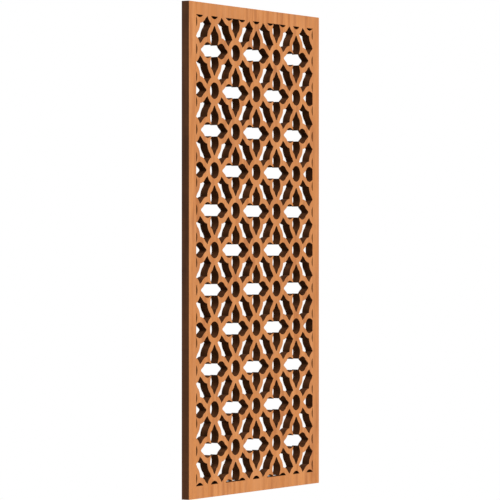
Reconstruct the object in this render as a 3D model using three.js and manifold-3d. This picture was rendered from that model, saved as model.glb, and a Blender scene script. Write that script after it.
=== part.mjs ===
// Fretwork wall panel: one sheet of wood-faced board, pierced right through with a lattice.
// Rings and crosses take turns on a square grid, and a lozenge is left open between every four of them.
// Millimetres, +Z up. The sheet stands in the XZ plane, its show face towards -Y and its back at y = 0,
// against the wall. The origin is on the back, in the middle of the top margin.

import * as THREE from 'three';
import { mergeVertices } from 'three/addons/utils/BufferGeometryUtils.js';
import Module from 'manifold-3d';

// Sheet
const PANEL_WIDTH = 617;
const PANEL_HEIGHT = 1200;
const PANEL_THICKNESS = 21;
const SIDE_MARGIN = 32.3; // plain border left and right of the pierced field
const END_MARGIN = 30.5; // plain border above and below it
const MOUNT_DROP = 15; // from the top edge down to the origin, on the back of the top margin

// Grid: a ring stands in the middle of the sheet, a little high
const PITCH = 97; // from the middle of a ring to the middle of the next cross
const LATTICE_RISE = 0.5; // from the middle of the sheet up to the middle of that ring

// Ring
const EYE_RADIUS = 20.1; // round hole in the middle of a ring
const RING_WIDTH = 14.3;

// Cross: four arms, each a round lobe that runs out into a straight-sided point
const LOBE_RADIUS = 19.3;
const LOBE_REACH = 30.8; // from the middle of the cross to the middle of a lobe
const TIP_REACH = 63; // from the middle of the cross to the point of an arm
const TIP_ANGLE = THREE.MathUtils.degToRad(32.4); // between an arm and one side of its point
const CUSP_REACH = 19.5; // from the middle of the cross to the cusp between two arms
const STRAP_WIDTH = 13.6; // band of wood that runs round the cross

// Facets
const EYE_SIDES = 12;
const LOBE_STEPS = 2; // along the round of a lobe, on each side of an arm
const STRAP_STEPS = 2; // along the round of a strap's outer edge
const CUT_OVERRUN = 2; // how far a cutter stands out of both faces of the sheet

const RIGHT_ANGLE = Math.PI / 2;
const DIAGONAL = RIGHT_ANGLE / 2;
const SIDE_NORMAL = RIGHT_ANGLE - TIP_ANGLE; // direction square to one side of a point

const wasm = await Module();
wasm.setup();

/** Points of an arc about (middle, 0), both ends included. */
function arc(middle, radius, from, to, steps) {
  return Array.from({ length: steps + 1 }, (_, step) => {
    const angle = THREE.MathUtils.lerp(from, to, step / steps);
    return new THREE.Vector2(middle + radius * Math.cos(angle), radius * Math.sin(angle));
  });
}

/** The same points after a quarter turn about a centre, as many times as asked. */
function turned(points, centre, quarters) {
  return points.map((point) => point.clone().rotateAround(centre, quarters * RIGHT_ANGLE));
}

/** Angle about a lobe's middle where the round of the lobe meets the straight side of the point, both
 * moved outwards by the same offset. */
function shoulderAngle(offset) {
  const sideDistance = (TIP_REACH - LOBE_REACH) * Math.sin(TIP_ANGLE) + offset;
  return SIDE_NORMAL - Math.acos(sideDistance / (LOBE_RADIUS + offset));
}

/** Round hole of a ring about (0, 0). */
function eyeOutline() {
  return arc(0, EYE_RADIUS, 0, 2 * Math.PI, EYE_SIDES).slice(0, -1);
}

/** Cross about (0, 0). The flanks of each cusp are straight and touch the lobes on both sides of it.
 * The sides of a point run straight on to the first step of the lobe. */
function crossOutline() {
  const middle = new THREE.Vector2(0, 0);
  const lobe = new THREE.Vector2(LOBE_REACH, 0);
  const cusp = new THREE.Vector2(CUSP_REACH, 0).rotateAround(middle, DIAGONAL);
  const flank = cusp.clone().sub(lobe);
  const touchAngle = flank.angle() - Math.acos(LOBE_RADIUS / flank.length());
  const upperSide = arc(LOBE_REACH, LOBE_RADIUS, shoulderAngle(0), touchAngle, LOBE_STEPS).slice(1);
  const lowerSide = upperSide.map(({ x, y }) => new THREE.Vector2(x, -y)).reverse();
  const arm = [...lowerSide, new THREE.Vector2(TIP_REACH, 0), ...upperSide, cusp];
  return [0, 1, 2, 3].flatMap((quarter) => turned(arm, middle, quarter));
}

/** Lozenge between the straps of the crosses at (0, 0) and (PITCH, PITCH) and the rings at the other two
 * corners of the square. One quarter is worked out, from the diagonal of the crosses to that of the rings.
 * The last step of a strap's round is left out, so its edge runs straight on to the ring. */
function lozengeOutline() {
  const strapRadius = LOBE_RADIUS + STRAP_WIDTH;
  const ringRadius = EYE_RADIUS + RING_WIDTH;
  const crotchAngle = 3 * DIAGONAL - Math.acos((LOBE_REACH * Math.SQRT1_2) / strapRadius);
  const strapEdge = arc(LOBE_REACH, strapRadius, crotchAngle, shoulderAngle(STRAP_WIDTH), STRAP_STEPS);
  const edgeDistance = TIP_REACH * Math.sin(TIP_ANGLE) + STRAP_WIDTH;
  const cornerAngle = SIDE_NORMAL + Math.acos((edgeDistance - PITCH * Math.sin(TIP_ANGLE)) / ringRadius);
  const ringEdge = arc(PITCH, ringRadius, cornerAngle, 3 * DIAGONAL, 1);
  const quarter = [...strapEdge.slice(0, -1), ...ringEdge];
  const mirrored = quarter.slice(1, -1).map(({ x, y }) => new THREE.Vector2(PITCH - y, PITCH - x));
  const half = [...quarter, ...mirrored.reverse()];
  return [...half, ...turned(half, new THREE.Vector2(PITCH / 2, PITCH / 2), 2)];
}

/** Every cut-out of the lattice over a field of this size, whole, as shapes about the middle of the sheet. */
function latticeShapes(fieldWidth, fieldHeight) {
  const columns = Math.ceil(fieldWidth / 2 / PITCH);
  const rows = Math.ceil((fieldHeight / 2 + LATTICE_RISE) / PITCH);
  const eye = eyeOutline();
  const cross = crossOutline();
  const lozenge = lozengeOutline();
  const lozengeByRing = turned(lozenge, new THREE.Vector2(PITCH / 2, PITCH / 2), 1);
  const shapes = [];
  for (let column = -columns; column <= columns; column++) {
    for (let row = -rows; row <= rows; row++) {
      const corner = new THREE.Vector2(column * PITCH, row * PITCH + LATTICE_RISE);
      const shapeHere = (outline) => new THREE.Shape(outline.map((point) => point.clone().add(corner)));
      const isRing = (column + row) % 2 === 0;
      shapes.push(shapeHere(isRing ? eye : cross));
      if (column < columns && row < rows) {
        shapes.push(shapeHere(isRing ? lozengeByRing : lozenge));
      }
    }
  }
  return shapes;
}

/** Rectangle about the middle of the sheet. */
function rectangleShape(width, height) {
  const corner = new THREE.Vector2(width / 2, height / 2);
  const signs = [[-1, -1], [1, -1], [1, 1], [-1, 1]];
  return new THREE.Shape(signs.map(([across, up]) => new THREE.Vector2(corner.x * across, corner.y * up)));
}

/** Solid of upright shapes, drawn as x and z, that fills y from front to back. */
function slab(shapes, front, back) {
  const geometry = new THREE.ExtrudeGeometry(shapes, { depth: back - front, bevelEnabled: false });
  geometry.rotateX(RIGHT_ANGLE);
  geometry.translate(0, back, 0);
  geometry.deleteAttribute('normal');
  geometry.deleteAttribute('uv');
  const merged = mergeVertices(geometry);
  const vertProperties = merged.getAttribute('position').array;
  const triVerts = Uint32Array.from(merged.getIndex().array);
  return new wasm.Manifold(new wasm.Mesh({ numProp: 3, vertProperties, triVerts }));
}

/** Geometry of a finished solid. */
function solidGeometry(solid) {
  const { vertProperties, triVerts } = solid.getMesh();
  const geometry = new THREE.BufferGeometry();
  geometry.setAttribute('position', new THREE.BufferAttribute(vertProperties, 3));
  geometry.setIndex(new THREE.BufferAttribute(triVerts, 1));
  geometry.computeVertexNormals();
  return geometry;
}

/** The sheet, less the part of the lattice that lies inside the plain border. */
function fretworkPanel() {
  const fieldWidth = PANEL_WIDTH - 2 * SIDE_MARGIN;
  const fieldHeight = PANEL_HEIGHT - 2 * END_MARGIN;
  const sheet = slab([rectangleShape(PANEL_WIDTH, PANEL_HEIGHT)], -PANEL_THICKNESS, 0);
  const field = slab([rectangleShape(fieldWidth, fieldHeight)], -PANEL_THICKNESS - CUT_OVERRUN, CUT_OVERRUN);
  const overrunTwice = 2 * CUT_OVERRUN;
  const lattice = slab(latticeShapes(fieldWidth, fieldHeight), -PANEL_THICKNESS - overrunTwice, overrunTwice);
  const material = new THREE.MeshStandardMaterial({
    color: '#d18c58',
    roughness: 0.5,
    metalness: 0,
    flatShading: true,
  });
  const panel = new THREE.Mesh(solidGeometry(sheet.subtract(lattice.intersect(field))), material);
  panel.name = 'fretwork_panel';
  panel.position.z = MOUNT_DROP - PANEL_HEIGHT / 2;
  return panel;
}

const group = new THREE.Group();
group.add(fretworkPanel());

export default group;
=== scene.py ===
"""Looks of a fretwork wall panel: one pierced board with eased arrises, veneered faces and dark cut walls.

Metres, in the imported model's frame: +Z up, the show face towards -Y and the back at y = 0, on the wall.
"""

import logging
import math
from dataclasses import dataclass, field
from enum import Enum, IntEnum

import bpy
import numpy as np
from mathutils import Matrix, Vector
from mathutils.geometry import delaunay_2d_cdt


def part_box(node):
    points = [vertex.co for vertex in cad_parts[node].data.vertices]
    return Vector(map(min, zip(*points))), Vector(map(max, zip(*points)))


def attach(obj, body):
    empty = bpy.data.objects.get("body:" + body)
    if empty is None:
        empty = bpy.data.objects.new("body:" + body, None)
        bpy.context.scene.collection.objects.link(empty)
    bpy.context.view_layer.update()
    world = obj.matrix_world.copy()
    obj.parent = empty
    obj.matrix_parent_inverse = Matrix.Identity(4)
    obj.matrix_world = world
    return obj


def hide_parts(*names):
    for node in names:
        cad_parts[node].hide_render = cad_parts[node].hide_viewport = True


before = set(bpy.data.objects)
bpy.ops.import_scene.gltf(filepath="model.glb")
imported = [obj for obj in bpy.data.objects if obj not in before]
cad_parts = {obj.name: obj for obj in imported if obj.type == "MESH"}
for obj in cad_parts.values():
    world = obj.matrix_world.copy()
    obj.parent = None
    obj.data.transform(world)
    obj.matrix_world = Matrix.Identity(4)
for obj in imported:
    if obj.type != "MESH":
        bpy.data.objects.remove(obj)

log = logging.getLogger("fretwork_panel")

NODE = "fretwork_panel"
BODY = "root"
PIECE = "pierced_board"
ARRIS = "arris"

RIGHT_ANGLE = math.pi / 2
DIAGONAL = RIGHT_ANGLE / 2
QUARTERS = 4
FULL_TURN = QUARTERS * RIGHT_ANGLE
QUARTER_TURN = np.array([[0, -1], [1, 0]])
ORIGIN = np.zeros(2)
OUT_OF_FRONT = (0.0, -1.0, 0.0)
OUT_OF_BACK = (0.0, 1.0, 0.0)
DOWN_TO_UP = (-1.0, 1.0)
SHEET_CORNERS = 4
NOISE_MIDDLE = 0.5
OPAQUE = 1.0
IMAGE_WIDTH = 500
SENSOR_WIDTH = 36.0

# What the triangulation takes: its mode that fills the whole hull, and how near two points are one
WHOLE_HULL = 0
MERGE_DISTANCE = 1e-9

# Places of the colour sockets of a Mix node, whose names its other sockets share
MIX_FIRST = 6
MIX_SECOND = 7
MIX_RESULT = 2

Triple = tuple[float, float, float]
Colour = Triple
Range = tuple[float, float]
Inputs = dict[str | int, object]
Sockets = dict[str, bpy.types.NodeSocket]


class Face(IntEnum):
    """Material slots of the panel, in order."""

    SHOW = 0
    BACK = 1
    EDGE = 2
    CUT = 3


class Side(Enum):
    """Side of the panel that a light stands on, as an azimuth and an elevation in degrees."""

    FRONT = (0.0, 30.0)
    BACK = (180.0, 30.0)


def arc(middle: float, radius: float, start: float, end: float, longest_step: float) -> np.ndarray:
    """Points of an arc: (middle, 0) plus the radius times the cosine and sine of evenly spaced angles.

    Args:
        middle: Distance of the arc's middle along the first axis.
        radius: Radius of the arc.
        start: First angle, in radians.
        end: Last angle, in radians.
        longest_step: Largest angle between two points next to each other.

    Returns:
        Rows of two coordinates, both ends of the arc included.
    """
    steps = max(1, math.ceil(abs(end - start) / longest_step))
    angles = np.linspace(start, end, steps + 1)
    return np.column_stack((middle + radius * np.cos(angles), radius * np.sin(angles)))


def turned(points: np.ndarray, centre: np.ndarray, quarters: int) -> np.ndarray:
    """The same points after quarter turns about a centre, each of which takes the first axis to the second.

    Args:
        points: Rows of two coordinates.
        centre: The point that stays where it is.
        quarters: How many right angles to turn by.

    Returns:
        Rows of two coordinates.
    """
    turn = np.linalg.matrix_power(QUARTER_TURN, quarters)
    return (points - centre) @ turn.T + centre


def leaving_point(inside: np.ndarray, outside: np.ndarray, half_field: np.ndarray) -> np.ndarray:
    """Where the line from a point in the field to one outside it crosses the field's border.

    Along each axis the share of the way to the border is (border - inside) / (outside - inside), and the
    smallest share of the axes that the line leaves by is the crossing.

    Args:
        inside: A point in the field.
        outside: A point outside it.
        half_field: Half of the field's width and height.

    Returns:
        The crossing.
    """
    leaves = np.abs(outside) > half_field
    border = np.sign(outside) * half_field
    share = ((border - inside)[leaves] / (outside - inside)[leaves]).min()
    return inside + share * (outside - inside)


def closed_run(
    run: np.ndarray, before: np.ndarray, after: np.ndarray, half_field: np.ndarray
) -> np.ndarray:
    """A run of an outline inside the field, closed along the field's border.

    The run gets the crossings at its two ends, and the field's corner between them where they lie on two
    sides of the field.

    Args:
        run: The points inside the field, in order.
        before: The point outside it that comes before them.
        after: The point outside it that comes after them.
        half_field: Half of the field's width and height.

    Returns:
        The closed outline.
    """
    entry = leaving_point(run[0], before, half_field)
    leaving = leaving_point(run[-1], after, half_field)
    on_border = np.isclose(np.abs([entry, leaving]), half_field)
    corner = np.empty((0, 2))
    if not (on_border[0] & on_border[1]).any():
        corner = np.sign(run[:1]) * half_field
    return np.vstack((entry, run, leaving, corner))


def clipped(loop: np.ndarray, half_field: np.ndarray) -> list[np.ndarray]:
    """The parts of a cut-out that lie in the field.

    Each is a run of its outline between two crossings of the field's border, closed along the border.

    Args:
        loop: Rows of two coordinates about the middle of the field, anticlockwise.
        half_field: Half of the field's width and height.

    Returns:
        One closed outline for each part.
    """
    inside = (np.abs(loop) < half_field).all(axis=1)
    if inside.all():
        return [loop]
    parts = []
    for first in np.flatnonzero(inside & ~np.roll(inside, 1)):
        ahead = np.roll(loop, -first, axis=0)
        length = np.argmin(np.roll(inside, -first))
        parts.append(closed_run(ahead[:length], ahead[-1], ahead[length], half_field))
    return parts


@dataclass(frozen=True)
class Lattice:
    """Rings and crosses that take turns on a square grid, with a lozenge cut out between every four.

    A ring stands above the middle of the field by the rise. Every outline runs anticlockwise seen from the
    front, as rows of x and z.

    Attributes:
        pitch: From the middle of a ring to the middle of the next cross.
        rise: From the middle of the field up to the middle of a ring.
        eye_radius: Radius of the round hole in a ring.
        ring_width: Width of a ring's band.
        lobe_radius: Radius of the round lobe of a cross's arm.
        lobe_reach: From the middle of a cross to the middle of a lobe.
        tip_reach: From the middle of a cross to where the sides of an arm's point would meet.
        tip_angle: Between an arm and one side of its point, in radians.
        tip_radius: Radius of the small round that a point ends in.
        cusp_reach: From the middle of a cross to the cusp between two arms.
        strap_width: Width of the band that runs round a cross.
        longest_step: Largest angle between two points of a round, in radians.
        tip_step: The same for the small round of a point.
    """

    pitch: float = 0.0970
    rise: float = 0.0005
    eye_radius: float = 0.0201
    ring_width: float = 0.0143
    lobe_radius: float = 0.0193
    lobe_reach: float = 0.0308
    tip_reach: float = 0.0630
    tip_angle: float = math.radians(32.4)
    tip_radius: float = 0.0030
    cusp_reach: float = 0.0195
    strap_width: float = 0.0136
    longest_step: float = math.radians(7.5)
    tip_step: float = math.radians(15)

    def shoulder_angle(self, offset: float) -> float:
        """Angle about a lobe's middle where its round meets the straight side of the point.

        Args:
            offset: How far both are moved outwards.

        Returns:
            The angle from the arm's own axis, in radians.
        """
        side_distance = (self.tip_reach - self.lobe_reach) * math.sin(self.tip_angle) + offset
        return RIGHT_ANGLE - self.tip_angle - math.acos(side_distance / (self.lobe_radius + offset))

    def eye(self) -> np.ndarray:
        """Round hole of a ring about (0, 0)."""
        return arc(0, self.eye_radius, 0, FULL_TURN, self.longest_step)[:-1]

    def cross(self) -> np.ndarray:
        """Cross about (0, 0): four arms, each a round lobe that runs out into a straight-sided point.

        The flanks of the cusp between two arms are straight and touch the lobes on both sides of it. A
        point ends in a small round that touches both of its sides, which the cutter leaves.

        Returns:
            Rows of x and z.
        """
        cusp = self.cusp_reach * np.array((math.cos(DIAGONAL), math.sin(DIAGONAL)))
        flank = cusp - (self.lobe_reach, 0)
        touch_angle = math.atan2(flank[1], flank[0]) - math.acos(self.lobe_radius / np.hypot(*flank))
        upper_side = arc(
            self.lobe_reach, self.lobe_radius, self.shoulder_angle(0), touch_angle, self.longest_step
        )
        lower_side = upper_side[::-1] * (1, -1)
        swing = RIGHT_ANGLE - self.tip_angle
        tip_middle = self.tip_reach - self.tip_radius / math.sin(self.tip_angle)
        tip = arc(tip_middle, self.tip_radius, -swing, swing, self.tip_step)
        arm = np.vstack((lower_side, tip, upper_side, cusp))
        return np.vstack([turned(arm, ORIGIN, quarter) for quarter in range(QUARTERS)])

    def lozenge(self) -> np.ndarray:
        """Lozenge in the square from (0, 0) to (pitch, pitch), with crosses at these two corners.

        It lies between the straps of the crosses and the rings at the other two corners. One quarter is
        worked out, from the diagonal of the crosses to that of the rings, then mirrored and turned.

        Returns:
            Rows of x and z.
        """
        strap_radius = self.lobe_radius + self.strap_width
        ring_radius = self.eye_radius + self.ring_width
        crotch_angle = 3 * DIAGONAL - math.acos(self.lobe_reach * math.sin(DIAGONAL) / strap_radius)
        shoulder_angle = self.shoulder_angle(self.strap_width)
        strap_edge = arc(self.lobe_reach, strap_radius, crotch_angle, shoulder_angle, self.longest_step)
        past_tip = (self.tip_reach - self.pitch) * math.sin(self.tip_angle) + self.strap_width
        corner_angle = RIGHT_ANGLE - self.tip_angle + math.acos(past_tip / ring_radius)
        ring_edge = arc(self.pitch, ring_radius, corner_angle, 3 * DIAGONAL, self.longest_step)
        quarter = np.vstack((strap_edge, ring_edge))
        mirrored = self.pitch - quarter[-2:0:-1, ::-1]
        half = np.vstack((quarter, mirrored))
        return np.vstack((half, turned(half, np.full(2, self.pitch / 2), 2)))

    def outlines(self, half_field: np.ndarray) -> list[np.ndarray]:
        """Every cut-out of the lattice that a field of this size holds, cut off along the field's border.

        Args:
            half_field: Half of the field's width and height.

        Returns:
            One outline for each cut-out, about the middle of the field.
        """
        rise = np.array((0.0, self.rise))
        columns, rows = np.ceil((half_field + rise) / self.pitch).astype(int)
        eye, cross, lozenge = self.eye(), self.cross(), self.lozenge()
        lozenge_by_ring = turned(lozenge, np.full(2, self.pitch / 2), 1)
        loops = []
        for column in range(-columns, columns + 1):
            for row in range(-rows, rows + 1):
                corner = self.pitch * np.array((column, row)) + rise
                is_ring = (column + row) % 2 == 0
                loops += clipped(corner + (eye if is_ring else cross), half_field)
                if column < columns and row < rows:
                    loops += clipped(corner + (lozenge_by_ring if is_ring else lozenge), half_field)
        return loops


@dataclass
class Outlines:
    """Closed outlines laid end to end, each with the wood on the right hand of its way round.

    Attributes:
        loops: The points of each outline, as rows of x and z.
        smooth_turn: Turn between two stretches under which their shading runs on, in radians.
        lengths: Number of points in each outline.
        points: The points of all outlines.
        before: Number of the point before each one on its outline.
        after: Number of the point after each one on its outline.
        into_wood: Normal of the stretch after each point, into the wood.
    """

    loops: list[np.ndarray]
    smooth_turn: float = math.radians(12)
    lengths: np.ndarray = field(init=False)
    points: np.ndarray = field(init=False)
    before: np.ndarray = field(init=False)
    after: np.ndarray = field(init=False)
    into_wood: np.ndarray = field(init=False)

    def __post_init__(self) -> None:
        """Links the points of each loop, and turns each stretch a right angle clockwise for its normal."""
        self.lengths = np.array([len(loop) for loop in self.loops])
        ends = np.cumsum(self.lengths)
        self.points = np.vstack(self.loops)
        self.after = np.arange(1, len(self.points) + 1)
        self.after[ends - 1] = ends - self.lengths
        self.before = np.argsort(self.after)
        along = self.points[self.after] - self.points
        along /= np.linalg.norm(along, axis=1, keepdims=True)
        self.into_wood = along[:, ::-1] * (1, -1)

    def fills_cut(self, triangles: np.ndarray) -> np.ndarray:
        """Which anticlockwise triangles fill a cut-out instead of wood.

        Such a triangle has all its points on one outline, in that outline's own way round: the counts of
        points from each corner on to the next add up to the outline once, and to twice it the other way.

        Args:
            triangles: Rows of three point numbers.

        Returns:
            True for a triangle in a cut-out.
        """
        outline = np.repeat(np.arange(len(self.lengths)), self.lengths)[triangles]
        on_one = (outline == outline[:, :1]).all(axis=1)
        total = self.lengths[outline[:, 0]]
        steps = np.mod(np.roll(triangles, -1, axis=1) - triangles, total[:, None]).sum(axis=1)
        return on_one & (steps == total)

    def mitre(self) -> np.ndarray:
        """Way in which each point moves for both stretches at it to move into the wood by one.

        It is the sum of their normals over one plus the product of their normals.

        Returns:
            Rows of two coordinates.
        """
        earlier = self.into_wood[self.before]
        shared = 1 + (earlier * self.into_wood).sum(axis=1, keepdims=True)
        return (earlier + self.into_wood) / shared

    def stretch_normals(self) -> tuple[np.ndarray, np.ndarray]:
        """Normals into the wood at both ends of the stretch after each point.

        Where two stretches meet at a slight turn, both have the mean of their normals there.

        Returns:
            Normals at the stretches' starts and at their ends.
        """
        earlier = self.into_wood[self.before]
        slight = (earlier * self.into_wood).sum(axis=1, keepdims=True) > math.cos(self.smooth_turn)
        shared = earlier + self.into_wood
        shared /= np.linalg.norm(shared, axis=1, keepdims=True)
        starts = np.where(slight, shared, self.into_wood)
        ends = np.where(slight[self.after], shared[self.after], self.into_wood)
        return starts, ends

    def strips(self, rows: int) -> np.ndarray:
        """Four-sided faces between rows of points that each go round all outlines.

        Args:
            rows: Number of rows of points.

        Returns:
            Rows of four point numbers, one row of points after another.
        """
        count = len(self.points)
        row_starts = count * np.arange(rows - 1)[:, None]
        here = np.arange(count) + row_starts
        after = self.after + row_starts
        return np.stack((here, after, after + count, here + count), axis=-1).reshape(-1, 4)

    def strip_normals(self, off_wall: np.ndarray, off_face: np.ndarray) -> np.ndarray:
        """Normals at the corners of the strips' faces.

        Each is the stretch's normal out of the wood times the row's share off the wall, in x and z, and the
        row's share off the face, in y.

        Args:
            off_wall: Each row's share off the wall.
            off_face: Each row's share off the face.

        Returns:
            Rows of x, y and z, four for each face.
        """
        starts, ends = self.stretch_normals()
        corners = np.stack((starts, ends, ends, starts), axis=1)
        row_of_corner = np.arange(len(off_wall) - 1)[:, None] + (0, 0, 1, 1)
        leaning = -corners * off_wall[row_of_corner][:, None, :, None]
        facing = np.broadcast_to(off_face[row_of_corner][:, None, :], leaning.shape[:3])
        return np.stack((leaning[..., 0], facing, leaning[..., 1]), axis=-1).reshape(-1, 3)

    def cap(self, points: np.ndarray) -> np.ndarray:
        """Triangles of the wood between the outlines, anticlockwise seen from the front.

        Args:
            points: Where the outlines' points lie on the face.

        Returns:
            Rows of three point numbers.
        """
        edges = np.column_stack((np.arange(len(points)), self.after))
        _, _, faces, *_ = delaunay_2d_cdt(
            points.tolist(), edges.tolist(), [], WHOLE_HULL, MERGE_DISTANCE, False
        )
        triangles = np.array(faces)
        return triangles[~self.fills_cut(triangles)]


@dataclass
class NodeSheet:
    """A node tree with short ways to add nodes and link them."""

    tree: bpy.types.NodeTree

    def add(self, kind: str, values: Inputs | None = None, **settings: object) -> bpy.types.Node:
        """Adds a node.

        Args:
            kind: Blender's name of the node's type, without the leading ShaderNode.
            values: What each input takes, by its name or number: a plain value, or a socket to link from.
            settings: Values of the node's own properties.

        Returns:
            The node.
        """
        node = self.tree.nodes.new(f"ShaderNode{kind}")
        for name, setting in settings.items():
            setattr(node, name, setting)
        for key, value in (values or {}).items():
            self.feed(node.inputs[key], value)
        return node

    def feed(self, socket: bpy.types.NodeSocket, value: object) -> None:
        """Sets an input to a plain value, or links it from another socket."""
        if isinstance(value, bpy.types.NodeSocket):
            self.tree.links.new(value, socket)
        else:
            socket.default_value = value

    def math(self, operation: str, *terms: object) -> bpy.types.NodeSocket:
        """Result of a Math node of this operation on up to three terms."""
        return self.add("Math", dict(enumerate(terms)), operation=operation).outputs[0]

    def ramp(self, factor: object, stops: list[tuple[float, Colour]]) -> bpy.types.NodeSocket:
        """Colour of a ramp.

        Args:
            factor: What the ramp is read by.
            stops: Place and colour of each stop.

        Returns:
            The ramp's colour.
        """
        node = self.add("ValToRGB", {"Fac": factor})
        elements = node.color_ramp.elements
        while len(elements) < len(stops):
            elements.new(1.0)
        for element, (place, colour) in zip(elements, stops):
            element.position = place
            element.color = (*colour, OPAQUE)
        return node.outputs["Color"]

    def span(self, value: object, given: Range, wanted: Range = (0.0, 1.0)) -> bpy.types.NodeSocket:
        """Value taken from one range to another, and held at its ends."""
        ends = {"From Min": given[0], "From Max": given[1], "To Min": wanted[0], "To Max": wanted[1]}
        return self.add("MapRange", {"Value": value, **ends}).outputs["Result"]

    def scaled(self, vector: object, factors: Triple) -> bpy.types.NodeSocket:
        """Vector with each of its coordinates multiplied by its own factor."""
        return self.add("VectorMath", {0: vector, 1: factors}, operation="MULTIPLY").outputs[0]

    def noise(self, vector: object, scale: object, detail: float, roughness: float) -> bpy.types.NodeSocket:
        """Value of a noise texture, from 0 to 1 about a half."""
        values = {"Vector": vector, "Scale": scale, "Detail": detail, "Roughness": roughness}
        return self.add("TexNoise", values).outputs["Fac"]

    def tinted(self, colour: object, tint: Colour, share: object) -> bpy.types.NodeSocket:
        """Colour multiplied by a tint as far as the share says."""
        node = self.add("Mix", data_type="RGBA", blend_type="MULTIPLY")
        self.feed(node.inputs["Factor"], share)
        self.feed(node.inputs[MIX_FIRST], colour)
        self.feed(node.inputs[MIX_SECOND], (*tint, OPAQUE))
        return node.outputs[MIX_RESULT]


def new_group(
    name: str, inputs: dict[str, float | None], outputs: list[str]
) -> tuple[NodeSheet, Sockets, Sockets]:
    """Starts a shader node group with named sockets.

    Args:
        name: The group's name.
        inputs: Each input's default value, or None for a vector.
        outputs: Names of the outputs, all plain values.

    Returns:
        The group's sheet, its inputs as sockets to link from and its outputs as sockets to feed.
    """
    tree = bpy.data.node_groups.new(name, "ShaderNodeTree")
    for label, default in inputs.items():
        kind = "NodeSocketVector" if default is None else "NodeSocketFloat"
        socket = tree.interface.new_socket(label, in_out="INPUT", socket_type=kind)
        if default is not None:
            socket.default_value = default
    for label in outputs:
        tree.interface.new_socket(label, in_out="OUTPUT", socket_type="NodeSocketFloat")
    entry = tree.nodes.new("NodeGroupInput").outputs
    leaving = tree.nodes.new("NodeGroupOutput").inputs
    given = {label: entry[label] for label in inputs}
    result = {label: leaving[label] for label in outputs}
    return NodeSheet(tree), given, result


def new_material(name: str) -> tuple[bpy.types.Material, NodeSheet, bpy.types.Node]:
    """Starts a material.

    Args:
        name: The material's name.

    Returns:
        The material, the sheet of its nodes and its shader.
    """
    material = bpy.data.materials.new(name)
    material.use_nodes = True
    return material, NodeSheet(material.node_tree), material.node_tree.nodes["Principled BSDF"]


@dataclass(frozen=True)
class GrainLayer:
    """One layer of the grain: noise drawn out along the height.

    Attributes:
        length: How many times as long as wide its marks are.
        detail: How many finer steps the noise has.
        roughness: How strong the finer steps are.
    """

    length: float
    detail: float
    roughness: float


FIGURE = GrainLayer(length=3.0, detail=1.0, roughness=0.5)
STREAKS = GrainLayer(length=8.0, detail=2.0, roughness=0.5)
LINES = GrainLayer(length=30.0, detail=2.0, roughness=0.5)
FIBRES = GrainLayer(length=45.0, detail=2.0, roughness=0.6)
PORES = GrainLayer(length=16.0, detail=1.0, roughness=0.5)
WARMTH = GrainLayer(length=5.0, detail=2.0, roughness=0.6)


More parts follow.
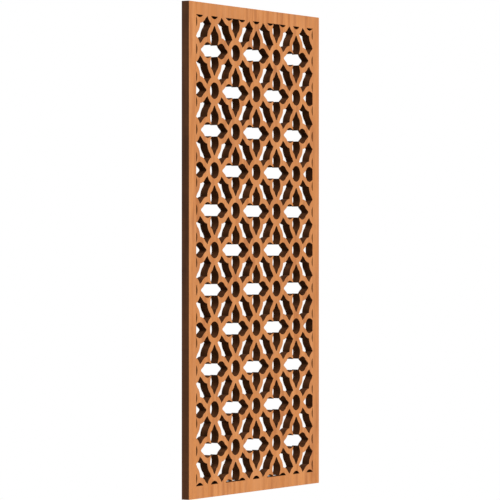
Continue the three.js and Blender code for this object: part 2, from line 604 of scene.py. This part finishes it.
@dataclass
class WoodEffects:
    """Node groups that the panel's finishes share.

    Attributes:
        drift_scale: Scale along each axis of the slow noise that the grain wanders by.
        drift: Width of the band that the grain wanders in.
        warmth_scale: Scale of the changes of hue, as a share of the streaks' own scale.
        line_share: Share of the lines in the tone.
        fibre_share: Share of the fibres in the tone.
        tone_lift: What brings the middle of the tone to a half.
        even_noise: Range that takes in most values of a noise.
        figure_strength: Least and greatest strength of the streaks.
        tone_span: Range of the tone that the finishes show.
        pore_span: Values of the pores' noise at which a pore begins and is full.
        blotch_span: Range of the blotches' noise that shows.
        through_board: Scale of the cutter marks through the board, as a share of their scale along a wall.
        grain: Group of the upright grain.
        cutter_marks: Group of the cutter marks.
        blotches: Group of the blotches.
    """

    drift_scale: Triple = (2.5, 2.5, 1.6)
    drift: float = 0.03
    warmth_scale: float = 0.7
    line_share: float = 0.5
    fibre_share: float = 0.3
    tone_lift: float = 0.1
    even_noise: Range = (0.36, 0.64)
    figure_strength: Range = (0.5, 2.3)
    tone_span: Range = (0.2, 0.8)
    pore_span: Range = (0.60, 0.72)
    blotch_span: Range = (0.35, 0.65)
    through_board: float = 0.04
    grain: bpy.types.NodeTree = field(init=False)
    cutter_marks: bpy.types.NodeTree = field(init=False)
    blotches: bpy.types.NodeTree = field(init=False)

    def build(self) -> None:
        """Makes every group once."""
        self.grain = self.build_grain()
        self.cutter_marks = self.build_cutter_marks()
        self.blotches = self.build_blotches()

    def build_grain(self) -> bpy.types.NodeTree:
        """Upright grain: noise drawn out along the height, in layers that wander together.

        A slow noise, the figure, makes the streaks strong in some places and faint in others. The tone is
        the figure times the streaks about their middle, plus shares of the lines and fibres and a lift.

        Returns:
            A group with Tone, dark to pale, Warmth, the hue, Fibre, the finest lines, and Pore, dark ticks.
        """
        inputs = {
            "Vector": None,
            "Figure": 8.0,
            "Streaks": 60.0,
            "Lines": 260.0,
            "Fibres": 700.0,
            "Pores": 900.0,
        }
        sheet, given, result = new_group("upright_grain", inputs, ["Tone", "Warmth", "Fibre", "Pore"])
        drifting = sheet.scaled(given["Vector"], self.drift_scale)
        slow = sheet.noise(drifting, scale=1.0, detail=2.0, roughness=0.5)
        across = sheet.math("MULTIPLY", sheet.math("SUBTRACT", slow, NOISE_MIDDLE), self.drift)
        shift = sheet.add("CombineXYZ", {"X": across}).outputs[0]
        wandering = sheet.add("VectorMath", {0: given["Vector"], 1: shift}, operation="ADD").outputs[0]

        def drawn_out(layer: GrainLayer, scale: object) -> bpy.types.NodeSocket:
            """Noise of a layer at this scale across the grain."""
            along = sheet.scaled(wandering, (1.0, 1.0, 1.0 / layer.length))
            return sheet.noise(along, scale, layer.detail, layer.roughness)

        figure = sheet.span(drawn_out(FIGURE, given["Figure"]), self.even_noise, self.figure_strength)
        streaks = sheet.math("SUBTRACT", drawn_out(STREAKS, given["Streaks"]), NOISE_MIDDLE)
        lines = sheet.math("MULTIPLY", drawn_out(LINES, given["Lines"]), self.line_share)
        fibres = drawn_out(FIBRES, given["Fibres"])
        pores = drawn_out(PORES, given["Pores"])
        warmth = drawn_out(WARMTH, sheet.math("MULTIPLY", given["Streaks"], self.warmth_scale))
        broad = sheet.math("MULTIPLY", streaks, figure)
        narrow = sheet.math("MULTIPLY_ADD", fibres, self.fibre_share, lines)
        tone = sheet.math("ADD", broad, sheet.math("ADD", narrow, self.tone_lift))
        sheet.feed(result["Tone"], sheet.span(tone, self.tone_span))
        sheet.feed(result["Warmth"], sheet.span(warmth, self.even_noise))
        sheet.feed(result["Fibre"], fibres)
        sheet.feed(result["Pore"], sheet.span(pores, self.pore_span))
        return sheet.tree

    def build_cutter_marks(self) -> bpy.types.NodeTree:
        """Cutter marks: fine lines straight through the board, the way that a cutter leaves a wall.

        Returns:
            A group whose Mark is the lines and Scorch the darker places between them.
        """
        inputs = {"Vector": None, "Marks": 900.0, "Scorches": 45.0}
        sheet, given, result = new_group("cutter_marks", inputs, ["Mark", "Scorch"])
        through = sheet.scaled(given["Vector"], (1.0, self.through_board, 1.0))
        sheet.feed(result["Mark"], sheet.noise(through, given["Marks"], detail=2.0, roughness=0.6))
        scorch = sheet.noise(through, given["Scorches"], detail=3.0, roughness=0.6)
        sheet.feed(result["Scorch"], sheet.span(scorch, self.even_noise))
        return sheet.tree

    def build_blotches(self) -> bpy.types.NodeTree:
        """Blotches: soft uneven places in a rubbed finish, from a slow noise.

        Returns:
            A group whose Blotch goes from 0 to 1.
        """
        sheet, given, result = new_group("rubbed_blotches", {"Vector": None, "Blotches": 9.0}, ["Blotch"])
        slow = sheet.noise(given["Vector"], given["Blotches"], detail=4.0, roughness=0.55)
        sheet.feed(result["Blotch"], sheet.span(slow, self.blotch_span))
        return sheet.tree


@dataclass(frozen=True)
class Veneer:
    """Satin veneer with upright grain, a little darker along the eased arrises.

    Attributes:
        name: The material's name.
        dark: Colour of the darkest grain.
        middle: Colour of the middle of the grain.
        pale: Colour of the palest grain.
        warm_tint: Tint of the warmer places.
        pore_tint: Tint of a pore.
        pore_share: How far a pore takes its tint.
        arris_tint: Tint of the arrises.
        roughness: Least and greatest roughness.
        specular: Strength of the reflection.
        coat: Strength of the clear coat.
        streaks: Scale of the grain's streaks.
        coat_roughness: Roughness of the clear coat.
        uneven_span: Range of fibres and blotches together that the roughness follows.
        bump_strength: Strength of the fibres' and pores' relief.
        bump_distance: Depth of that relief.
    """

    name: str
    dark: Colour
    middle: Colour
    pale: Colour
    warm_tint: Colour
    pore_tint: Colour
    pore_share: float
    arris_tint: Colour
    roughness: Range
    specular: float
    coat: float
    streaks: float
    coat_roughness: float = 0.35
    uneven_span: Range = (0.4, 1.6)
    bump_strength: float = 0.25
    bump_distance: float = 0.0002

    def material(self, effects: WoodEffects) -> bpy.types.Material:
        """Makes the material.

        Args:
            effects: The shared node groups.

        Returns:
            The material.
        """
        material, sheet, shader = new_material(self.name)
        place = sheet.add("TexCoord").outputs["Object"]
        grain_values = {"Vector": place, "Streaks": self.streaks}
        grain = sheet.add("Group", grain_values, node_tree=effects.grain).outputs
        blotches = sheet.add("Group", {"Vector": place}, node_tree=effects.blotches).outputs
        arris = sheet.add("Attribute", attribute_name=ARRIS).outputs["Fac"]
        colour = sheet.ramp(grain["Tone"], [(0.0, self.dark), (0.5, self.middle), (1.0, self.pale)])
        colour = sheet.tinted(colour, self.warm_tint, grain["Warmth"])
        pored = sheet.math("MULTIPLY", grain["Pore"], self.pore_share)
        colour = sheet.tinted(colour, self.pore_tint, pored)
        colour = sheet.tinted(colour, self.arris_tint, arris)
        sheet.feed(shader.inputs["Base Color"], colour)
        uneven = sheet.math("ADD", grain["Fibre"], blotches["Blotch"])
        sheet.feed(shader.inputs["Roughness"], sheet.span(uneven, self.uneven_span, self.roughness))
        height = sheet.math("SUBTRACT", grain["Fibre"], grain["Pore"])
        relief = {"Strength": self.bump_strength, "Distance": self.bump_distance, "Height": height}
        sheet.feed(shader.inputs["Normal"], sheet.add("Bump", relief).outputs["Normal"])
        shader.inputs["Specular IOR Level"].default_value = self.specular
        shader.inputs["Coat Weight"].default_value = self.coat
        shader.inputs["Coat Roughness"].default_value = self.coat_roughness
        return material


@dataclass(frozen=True)
class DarkWall:
    """Dark brown sawn wall: a darkened copy of the veneer's colour that paints in shade, with grain under
    it and fine cutter marks through the board.

    Attributes:
        name: The material's name.
        dark: Colour of the darkest streaks.
        pale: Colour of the palest streaks.
        scorch_tint: Tint of the scorched places.
        scorch_share: How far they take the tint.
        roughness: Least and greatest roughness.
        specular: Strength of the reflection.
        marks: Scale of the cutter marks.
        streak_span: Range of marks and grain together that the colour follows.
        mark_span: Range of the marks that the roughness follows.
        bump_strength: Strength of the marks' relief.
        bump_distance: Depth of that relief.
    """

    name: str
    dark: Colour
    pale: Colour
    scorch_tint: Colour
    scorch_share: float
    roughness: Range
    specular: float
    marks: float
    streak_span: Range = (0.5, 1.5)
    mark_span: Range = (0.3, 0.7)
    bump_strength: float = 0.3
    bump_distance: float = 0.0002

    def material(self, effects: WoodEffects) -> bpy.types.Material:
        """Makes the material.

        Args:
            effects: The shared node groups.

        Returns:
            The material.
        """
        material, sheet, shader = new_material(self.name)
        place = sheet.add("TexCoord").outputs["Object"]
        grain = sheet.add("Group", {"Vector": place}, node_tree=effects.grain).outputs
        cutter_values = {"Vector": place, "Marks": self.marks}
        cutter = sheet.add("Group", cutter_values, node_tree=effects.cutter_marks).outputs
        streaked = sheet.span(sheet.math("ADD", cutter["Mark"], grain["Tone"]), self.streak_span)
        colour = sheet.ramp(streaked, [(0.0, self.dark), (1.0, self.pale)])
        scorched = sheet.math("MULTIPLY", cutter["Scorch"], self.scorch_share)
        sheet.feed(shader.inputs["Base Color"], sheet.tinted(colour, self.scorch_tint, scorched))
        sheet.feed(shader.inputs["Roughness"], sheet.span(cutter["Mark"], self.mark_span, self.roughness))
        relief = {"Strength": self.bump_strength, "Distance": self.bump_distance, "Height": cutter["Mark"]}
        sheet.feed(shader.inputs["Normal"], sheet.add("Bump", relief).outputs["Normal"])
        shader.inputs["Specular IOR Level"].default_value = self.specular
        return material


SHOW_VENEER = Veneer(
    name="show_face_veneer",
    dark=(0.52, 0.187, 0.056),
    middle=(0.636, 0.249, 0.079),
    pale=(0.71, 0.294, 0.101),
    warm_tint=(1.0, 0.945, 0.80),
    pore_tint=(0.62, 0.52, 0.44),
    pore_share=0.5,
    arris_tint=(0.92, 0.88, 0.84),
    roughness=(0.42, 0.58),
    specular=0.30,
    coat=0.08,
    streaks=60.0,
)
BACK_VENEER = Veneer(
    name="back_veneer",
    dark=(0.50, 0.205, 0.075),
    middle=(0.57, 0.240, 0.092),
    pale=(0.62, 0.270, 0.108),
    warm_tint=(1.0, 0.97, 0.92),
    pore_tint=(0.70, 0.62, 0.55),
    pore_share=0.35,
    arris_tint=(0.92, 0.88, 0.84),
    roughness=(0.55, 0.70),
    specular=0.22,
    coat=0.0,
    streaks=40.0,
)
# The outer edge's dark brown is painted shade: the veneer's colour darkened, standing for the shade on the
# panel's sides.
OUTER_EDGE = DarkWall(
    name="outer_edge_painted_shade",
    dark=(0.101, 0.0338, 0.0092),
    pale=(0.168, 0.0583, 0.0168),
    scorch_tint=(0.80, 0.76, 0.72),
    scorch_share=0.6,
    roughness=(0.52, 0.70),
    specular=0.25,
    marks=700.0,
)
# The cut walls are darker again than the outer edge: painted shade, deeper inside the holes; the scorched
# patches on top vary at random.
CUT_WALL = DarkWall(
    name="cut_wall_painted_shade",
    dark=(0.058, 0.021, 0.007),
    pale=(0.115, 0.042, 0.015),
    scorch_tint=(0.70, 0.66, 0.62),
    scorch_share=0.7,
    roughness=(0.75, 0.95),
    specular=0.03,
    marks=900.0,
)
FINISHES: dict[Face, Veneer | DarkWall] = {
    Face.SHOW: SHOW_VENEER,
    Face.BACK: BACK_VENEER,
    Face.EDGE: OUTER_EDGE,
    Face.CUT: CUT_WALL,
}


@dataclass
class FretworkPanel:
    """The pierced board: a sheet with a lattice cut through it inside a plain border.

    Attributes:
        low: Lowest corner of the sheet.
        high: Highest corner of the sheet.
        side_margin: Plain border left and right of the lattice.
        end_margin: Plain border above and below it.
        ease: Radius of the eased arrises.
        ease_steps: Steps in which an arris is rounded.
        lattice: The lattice's sizes.
    """

    low: np.ndarray
    high: np.ndarray
    side_margin: float = 0.0323
    end_margin: float = 0.0305
    ease: float = 0.0003
    ease_steps: int = 2
    lattice: Lattice = field(default_factory=Lattice)

    def outlines(self) -> Outlines:
        """Outlines of the sheet itself, clockwise, and of every cut-out, anticlockwise.

        Returns:
            The outlines in the frame's x and z, the sheet's own first.
        """
        half_sheet = (self.high - self.low)[[0, 2]] / 2
        middle = (self.high + self.low)[[0, 2]] / 2
        border = half_sheet * np.array([(-1, -1), (-1, 1), (1, 1), (1, -1)])
        cuts = self.lattice.outlines(half_sheet - (self.side_margin, self.end_margin))
        log.info("lattice: %d cut-outs", len(cuts))
        return Outlines([middle + loop for loop in (border, *cuts)])

    def profile(self) -> tuple[np.ndarray, np.ndarray, np.ndarray, np.ndarray]:
        """Profile of a cut wall from the front to the back: a quarter round, the wall and a quarter round.

        At an angle a from the face, the round stands back from the wall by ease * (1 - sin a) and lies
        below the face by ease * (1 - cos a). Its normal has the share sin a off the wall and cos a off the
        face.

        Returns:
            For each row: how far it stands back into the wood, its y, and its normal's two shares.
        """
        angles = np.linspace(0, RIGHT_ANGLE, self.ease_steps + 1)
        stand_back = self.ease * (1 - np.sin(angles))
        below_face = self.ease * (1 - np.cos(angles))
        depths = np.concatenate((self.low[1] + below_face, (self.high[1] - below_face)[::-1]))
        both = np.concatenate((angles, angles[::-1]))
        towards = np.repeat((-1.0, 1.0), len(angles))
        return np.concatenate((stand_back, stand_back[::-1])), depths, np.sin(both), towards * np.cos(both)

    def build(self) -> bpy.types.Object:
        """Carries the profile round every outline and closes the two faces between the outlines.

        Returns:
            The panel, at the origin, with each face's material index set to its member of Face; dress gives
            it the slots.
        """
        outlines = self.outlines()
        stand_back, depths, off_wall, off_face = self.profile()
        count, rows = len(outlines.points), len(depths)
        drawn = outlines.points + stand_back[:, None, None] * outlines.mitre()
        through = np.broadcast_to(depths[:, None], (rows, count))
        places = np.stack((drawn[..., 0], through, drawn[..., 1]), axis=-1).reshape(-1, 3)
        cap = outlines.cap(drawn[0])
        back_cap = cap[:, ::-1] + count * (rows - 1)
        faces = [*outlines.strips(rows).tolist(), *cap.tolist(), *back_cap.tolist()]
        cap_normals = np.repeat((OUT_OF_FRONT, OUT_OF_BACK), cap.size, axis=0)
        normals = np.vstack((outlines.strip_normals(off_wall, off_face), cap_normals))
        finishes, arrises = self.finishes(count, rows, len(cap))

        mesh = bpy.data.meshes.new(PIECE)
        mesh.from_pydata(places.tolist(), [], faces)
        mesh.polygons.foreach_set("material_index", finishes)
        mesh.attributes.new(ARRIS, "FLOAT", "FACE").data.foreach_set("value", arrises)
        mesh.normals_split_custom_set(normals.tolist())
        mesh.update()
        board = bpy.data.objects.new(PIECE, mesh)
        bpy.context.scene.collection.objects.link(board)
        return board

    def finishes(self, count: int, rows: int, cap_size: int) -> tuple[np.ndarray, np.ndarray]:
        """Material slot of every face, and which faces are an eased arris.

        Args:
            count: Number of points round all outlines, of which the sheet's own corners are the first.
            rows: Number of rows in the profile.
            cap_size: Number of triangles on one face of the sheet.

        Returns:
            The slots, and 1 for an arris or 0 for any other face.
        """
        strips = np.full((rows - 1, count), Face.CUT, np.int32)
        strips[:, :SHEET_CORNERS] = Face.EDGE
        strips[:self.ease_steps] = Face.SHOW
        strips[-self.ease_steps:] = Face.BACK
        arrises = np.ones((rows - 1, count), np.float32)
        arrises[self.ease_steps] = 0
        caps = np.repeat((Face.SHOW, Face.BACK), cap_size).astype(np.int32)
        return np.append(strips, caps), np.append(arrises, np.zeros(2 * cap_size, np.float32))

    def dress(self, board: bpy.types.Object, effects: WoodEffects) -> None:
        """Gives the board its finishes, in the order of Face.

        Args:
            board: The panel's object.
            effects: The shared node groups.
        """
        for face in Face:
            board.data.materials.append(FINISHES[face].material(effects))


@dataclass
class Studio:
    """Floor, lights and camera round the panel.

    Attributes:
        low: Lowest corner of the panel.
        high: Highest corner of the panel.
        floor_drop: From the panel's lower edge down to the floor.
        floor_radius: Radius of the floor.
        floor_sides: Number of its sides.
        floor_colour: Its colour.
        floor_roughness: Its roughness.
        light_distance: From the middle of the panel to a light.
        light_size: Length of a light's sides.
        front_power: Power of the light in front, in watts.
        back_power: Power of the light behind, in watts.
        sky: Strength of the surroundings straight above.
        sky_colour: Colour of the surroundings.
        camera_left: How far the camera stands to the left of the panel's left edge.
        camera_forward: How far it stands in front of the show face.
        camera_above: How far it stands above the middle of the panel.
        camera_heading: Angle of its view to the right of straight at the panel, in radians.
        camera_sight: How far it sees.
        focal_pixels: Its focal length in pixels.
    """

    low: np.ndarray
    high: np.ndarray
    floor_drop: float = 1.3
    floor_radius: float = 1.6
    floor_sides: int = 96
    floor_colour: Colour = (0.72, 0.71, 0.70)
    floor_roughness: float = 0.9
    light_distance: float = 14.0
    light_size: float = 7.0
    front_power: float = 1440.0
    back_power: float = 1050.0
    sky: float = 0.81
    sky_colour: Colour = (1.0, 1.0, 1.0)
    camera_left: float = 5.9746
    camera_forward: float = 3.8664
    camera_above: float = 0.0006
    camera_heading: float = math.radians(58.2714)
    camera_sight: float = 100.0
    focal_pixels: float = 2961.6

    def middle(self) -> np.ndarray:
        """Middle of the panel."""
        return (self.low + self.high) / 2

    def build_floor(self) -> bpy.types.Object:
        """A round of pale floor below the panel.

        Returns:
            The floor.
        """
        rim = arc(0, self.floor_radius, 0, FULL_TURN, FULL_TURN / self.floor_sides)[:-1]
        level = np.full(len(rim), self.low[2] - self.floor_drop)
        mesh = bpy.data.meshes.new("floor")
        mesh.from_pydata(np.column_stack((rim, level)).tolist(), [], [range(len(rim))])
        material, _, shader = new_material("pale_floor")
        shader.inputs["Base Color"].default_value = (*self.floor_colour, OPAQUE)
        shader.inputs["Roughness"].default_value = self.floor_roughness
        mesh.materials.append(material)
        floor = bpy.data.objects.new("floor", mesh)
        bpy.context.scene.collection.objects.link(floor)
        return floor

    def hang_light(self, name: str, side: Side, power: float) -> None:
        """Hangs a square soft light that faces the middle of the panel.

        Args:
            name: The light's name.
            side: Side of the panel that it stands on.
            power: Its power in watts.
        """
        azimuth, elevation = np.radians(side.value)
        level = math.cos(elevation)
        towards = np.array((math.sin(azimuth) * level, -math.cos(azimuth) * level, math.sin(elevation)))
        light = bpy.data.lights.new(name, "AREA")
        light.size = self.light_size
        light.energy = power
        lamp = bpy.data.objects.new(name, light)
        lamp.location = self.middle() + self.light_distance * towards
        lamp.rotation_euler = Vector(-towards).to_track_quat("-Z", "Y").to_euler()
        bpy.context.scene.collection.objects.link(lamp)

    def light(self) -> None:
        """Hangs the lights and sets white surroundings, which shine less the lower they are."""
        self.hang_light("front_light", Side.FRONT, self.front_power)
        self.hang_light("back_light", Side.BACK, self.back_power)
        world = bpy.data.worlds.new("studio")
        bpy.context.scene.world = world
        world.use_nodes = True
        sheet = NodeSheet(world.node_tree)
        background = world.node_tree.nodes["Background"]
        background.inputs["Color"].default_value = (*self.sky_colour, OPAQUE)
        seen = sheet.add("LightPath").outputs["Is Camera Ray"]
        way = sheet.add("SeparateXYZ", {0: sheet.add("TexCoord").outputs["Generated"]})
        shining = sheet.span(way.outputs["Z"], DOWN_TO_UP, (0.0, self.sky))
        sheet.feed(background.inputs["Strength"], sheet.math("MAXIMUM", seen, shining))
        bpy.context.scene.view_settings.view_transform = "Standard"

    def place_camera(self) -> None:
        """Stands the camera to the left of the panel at half its height, level, with a long lens."""
        data = bpy.data.cameras.new("camera")
        data.sensor_width = SENSOR_WIDTH
        data.lens = self.focal_pixels / IMAGE_WIDTH * SENSOR_WIDTH
        camera = bpy.data.objects.new("camera", data)
        camera.location = (
            self.low[0] - self.camera_left,
            self.low[1] - self.camera_forward,
            self.middle()[2] + self.camera_above,
        )
        camera.rotation_euler = (RIGHT_ANGLE, 0.0, -self.camera_heading)
        data.clip_end = self.camera_sight
        bpy.context.scene.collection.objects.link(camera)
        bpy.context.scene.camera = camera


def main() -> None:
    logging.basicConfig(level=logging.INFO, format="%(name)s: %(message)s")
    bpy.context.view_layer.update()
    low, high = (np.array(corner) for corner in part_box(NODE))

    effects = WoodEffects()
    effects.build()
    panel = FretworkPanel(low, high)
    board = panel.build()
    panel.dress(board, effects)
    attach(board, BODY)
    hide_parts(NODE)
    log.info("%s: %d faces", board.name, len(board.data.polygons))

    studio = Studio(low, high)
    studio.build_floor()
    studio.light()
    studio.place_camera()


if __name__ == "__main__":
    main()
